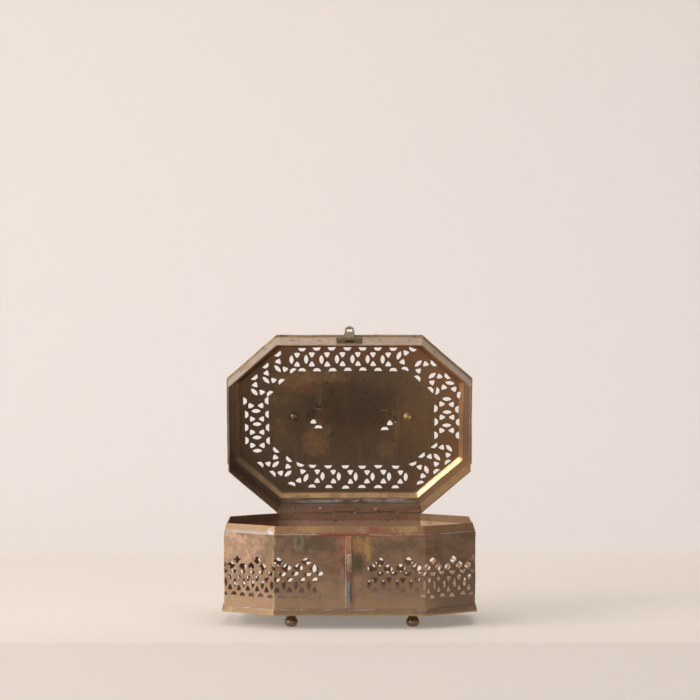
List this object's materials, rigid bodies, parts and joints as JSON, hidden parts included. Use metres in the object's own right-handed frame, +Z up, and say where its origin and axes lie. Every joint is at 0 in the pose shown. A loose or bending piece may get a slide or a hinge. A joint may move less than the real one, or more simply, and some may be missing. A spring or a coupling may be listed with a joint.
{
  "type": "pierced brass cricket box",
  "caption": "Octagonal pierced sheet-brass cricket box on ball feet, with a hinged pierced lid, strap handle and hasp.",
  "frame": {"origin": "on the surface the feet stand on, under the middle of the body", "axes": "+Z up, -Y the front with the staple, +X the right-hand side seen from the front"},
  "size_m": [0.1934, 0.174, 0.2235],
  "materials": {
    "wall_brass": "aged, mottled sheet",
    "collar_brass": "aged, golden brown",
    "lid_brass": "aged sheet, olive brown",
    "cast_brass": "turned, dull",
    "soldered_brass": "solder stained",
    "aged_brass": "dark, handled",
    "pin_brass": "drawn wire"
  },
  "bodies": {
    "box": {"body_wall": "wall_brass", "floor_plate": "wall_brass", "skirting": "wall_brass", "rim_collar": "collar_brass", "foot_front_left": "cast_brass", "foot_front_right": "cast_brass", "foot_back_left": "cast_brass", "foot_back_right": "cast_brass", "front_seam_strip": "soldered_brass", "hasp_staple": "aged_brass", "hinge_body_leaf": "aged_brass", "hinge_body_rivets": "aged_brass", "hinge_pin": "pin_brass"},
    "lid": {"lid_plate": "lid_brass", "lid_skirt": "lid_brass", "hinge_lid_leaf": "aged_brass", "hinge_lid_rivets": "aged_brass", "handle_strap": "aged_brass", "handle_rivet_left": "aged_brass", "handle_rivet_right": "aged_brass", "hasp_leaf": "aged_brass", "hasp_rivets": "aged_brass", "hasp_pin": "pin_brass"},
    "hasp": {"hasp_tongue": "aged_brass"}
  },
  "joints": [
    {"name": "lid_hinge", "type": "hinge", "parent": "box", "child": "lid", "pos_m": [0, 0.0716, 0.0751], "axis": [1, 0, 0], "range_deg": [-36.9, 73.1]},
    {"name": "hasp_hinge", "type": "hinge", "parent": "lid", "child": "hasp", "pos_m": [0, 0.03421, 0.21444], "axis": [1, 0, 0], "range_deg": [0, 188.08]}
  ]
}
